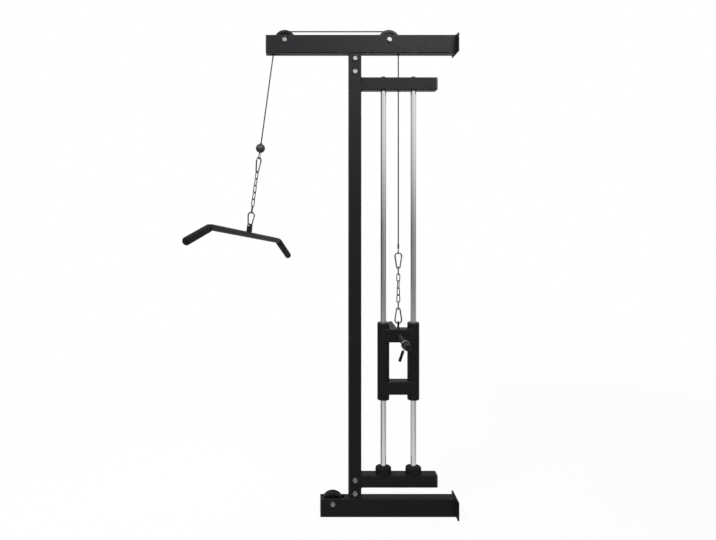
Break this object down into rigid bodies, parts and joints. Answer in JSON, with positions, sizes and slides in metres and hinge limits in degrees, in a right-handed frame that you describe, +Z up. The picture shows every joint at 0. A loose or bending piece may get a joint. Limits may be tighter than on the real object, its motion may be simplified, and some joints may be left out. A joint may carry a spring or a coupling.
{
  "type": "lat pulldown tower",
  "caption": "Rack-mounted lat pulldown tower: a weight carriage slides on chrome rods and a cable over pulleys lifts it when the lat bar is pulled.",
  "frame": {"origin": "centre of the lower rack plate's rear face, half a base beam above the floor", "axes": "+X toward the rack that the plates bolt to, +Z up, the lat bar hangs on the -X side, -Y is the side the picture was taken from"},
  "size_m": [1.0799, 1.0749, 2.099],
  "materials": {
    "black_powder_coat": "fine satin powder coat",
    "black_plastic": "moulded, matte",
    "pulley_plastic": "moulded nylon, glossy",
    "black_rubber": "matte",
    "chrome": "polished",
    "zinc": "bright zinc plate",
    "coated_cable": "steel cable in a black nylon coat"
  },
  "bodies": {
    "tower": {"top_beam": "black_powder_coat", "base_beam": "black_powder_coat", "upright": "black_powder_coat", "upper_spigot": "black_powder_coat", "lower_spigot": "black_powder_coat", "upper_rod_bracket": "black_powder_coat", "lower_rod_bracket": "black_powder_coat", "upper_rack_plate": "black_powder_coat", "lower_rack_plate": "black_powder_coat", "top_beam_cap": "black_plastic", "base_beam_cap": "black_plastic", "upper_bracket_cap": "black_plastic", "lower_bracket_cap": "black_plastic", "front_guide_rod": "chrome", "rear_guide_rod": "chrome", "front_rod_bolt": "zinc", "rear_rod_bolt": "zinc", "front_bumper": "black_rubber", "rear_bumper": "black_rubber", "upper_joint_bolt_high": "zinc", "upper_joint_bolt_low": "zinc", "lower_joint_bolt_high": "zinc", "lower_joint_bolt_low": "zinc", "front_pulley_bolt": "zinc", "rear_pulley_bolt": "zinc", "low_pulley_bolt": "zinc", "cable_top_run": "coated_cable"},
    "front_pulley_wheel": {"front_pulley": "pulley_plastic"},
    "rear_pulley_wheel": {"rear_pulley": "pulley_plastic"},
    "low_pulley_wheel": {"low_pulley": "pulley_plastic"},
    "carriage": {"front_sleeve": "black_powder_coat", "rear_sleeve": "black_powder_coat", "front_sleeve_liner": "black_plastic", "rear_sleeve_liner": "black_plastic", "upper_crossbar": "black_powder_coat", "lower_crossbar": "black_powder_coat", "weight_post": "black_powder_coat", "carriage_eye": "black_powder_coat", "carriage_carabiner": "zinc", "carriage_chain": "zinc", "cable_carabiner": "zinc", "cable_end_fitting": "black_plastic", "cable_rear_run": "coated_cable"},
    "near_clip": {"near_spring_clip": "zinc"},
    "far_clip": {"far_spring_clip": "zinc"},
    "carriage_gate": {"carriage_carabiner_gate": "zinc"},
    "cable_gate": {"cable_carabiner_gate": "zinc"},
    "front_cable": {"cable_front_run": "coated_cable"},
    "pull_line": {"ball_stopper": "black_plastic", "ball_eye": "zinc", "upper_handle_carabiner": "zinc", "handle_chain": "zinc"},
    "upper_gate": {"upper_handle_gate": "zinc"},
    "swivel_hook": {"lower_handle_carabiner": "zinc"},
    "lower_gate": {"lower_handle_gate": "zinc"},
    "handle": {"lat_bar": "black_powder_coat", "bar_clevis": "black_powder_coat", "clevis_bolt": "zinc", "near_grip": "black_rubber", "far_grip": "black_rubber"}
  },
  "joints": [
    {"name": "carriage_slide", "type": "slide", "parent": "tower", "child": "carriage", "axis": [0, 0, 1], "range_m": [-0.285, 0.65], "deforming": ["cable_rear_run"]},
    {"name": "front_pulley_spin", "type": "hinge", "parent": "tower", "child": "front_pulley_wheel", "pos_m": [-0.7424, 0, 2.0125], "axis": [0, 1, 0], "range_deg": [-900, 400]},
    {"name": "rear_pulley_spin", "type": "hinge", "parent": "tower", "child": "rear_pulley_wheel", "pos_m": [-0.2925, 0, 2.0125], "axis": [0, 1, 0], "range_deg": [-900, 400]},
    {"name": "low_pulley_spin", "type": "hinge", "parent": "tower", "child": "low_pulley_wheel", "pos_m": [-0.535, 0, 0.0175], "axis": [0, 1, 0], "continuous": true},
    {"name": "near_clip_slide", "type": "slide", "parent": "carriage", "child": "near_clip", "axis": [0, -1, 0], "range_m": [-0.165, 0.035]},
    {"name": "far_clip_slide", "type": "slide", "parent": "carriage", "child": "far_clip", "axis": [0, 1, 0], "range_m": [-0.035, 0.165]},
    {"name": "carriage_gate_hinge", "type": "hinge", "parent": "carriage", "child": "carriage_gate", "pos_m": [-0.25938, 0, 0.84123], "axis": [0, 1, 0], "range_deg": [-25, 0], "stiffness_Nm_per_rad": 0.05, "springref_deg": 17.19},
    {"name": "cable_gate_hinge", "type": "hinge", "parent": "carriage", "child": "cable_gate", "pos_m": [-0.24162, 0, 1.04387], "axis": [0, 1, 0], "range_deg": [-25, 0], "stiffness_Nm_per_rad": 0.05, "springref_deg": 17.19},
    {"name": "line_swing", "type": "hinge", "parent": "tower", "child": "front_cable", "pos_m": [-0.7424, 0, 2.0125], "axis": [0, 1, 0], "range_deg": [-6, 12], "deforming": ["cable_top_run"]},
    {"name": "line_pull", "type": "slide", "parent": "front_cable", "child": "pull_line", "axis": [-0.1357, 0, -0.9907], "range_m": [-0.286, 0.651], "deforming": ["cable_front_run"]},
    {"name": "upper_gate_hinge", "type": "hinge", "parent": "pull_line", "child": "upper_gate", "pos_m": [-0.8555, 0.00709, 1.45693], "axis": [-0.7912, 0.6018, 0.1084], "range_deg": [-25, 0], "stiffness_Nm_per_rad": 0.05, "springref_deg": 17.19},
    {"name": "bar_swivel", "type": "hinge", "parent": "pull_line", "child": "swivel_hook", "pos_m": [-0.89526, 0, 1.20608], "axis": [0.1357, 0, 0.9907], "range_deg": [-8, 25]},
    {"name": "lower_gate_hinge", "type": "hinge", "parent": "swivel_hook", "child": "lower_gate", "pos_m": [-0.88484, -0.00255, 1.21951], "axis": [0.2847, 0.9578, -0.039], "range_deg": [-25, 0], "stiffness_Nm_per_rad": 0.05, "springref_deg": 17.19},
    {"name": "bar_roll", "type": "hinge", "parent": "swivel_hook", "child": "handle", "pos_m": [-0.89423, 0, 1.21356], "axis": [0.2857, 0.9522, -0.108], "range_deg": [-40, 40]}
  ],
  "couplings": [
    {"joint": "line_pull", "follows": "carriage_slide", "ratio": 1},
    {"joint": "front_pulley_spin", "follows": "carriage_slide", "rad_per_m": -23.809},
    {"joint": "rear_pulley_spin", "follows": "carriage_slide", "rad_per_m": -23.809}
  ]
}
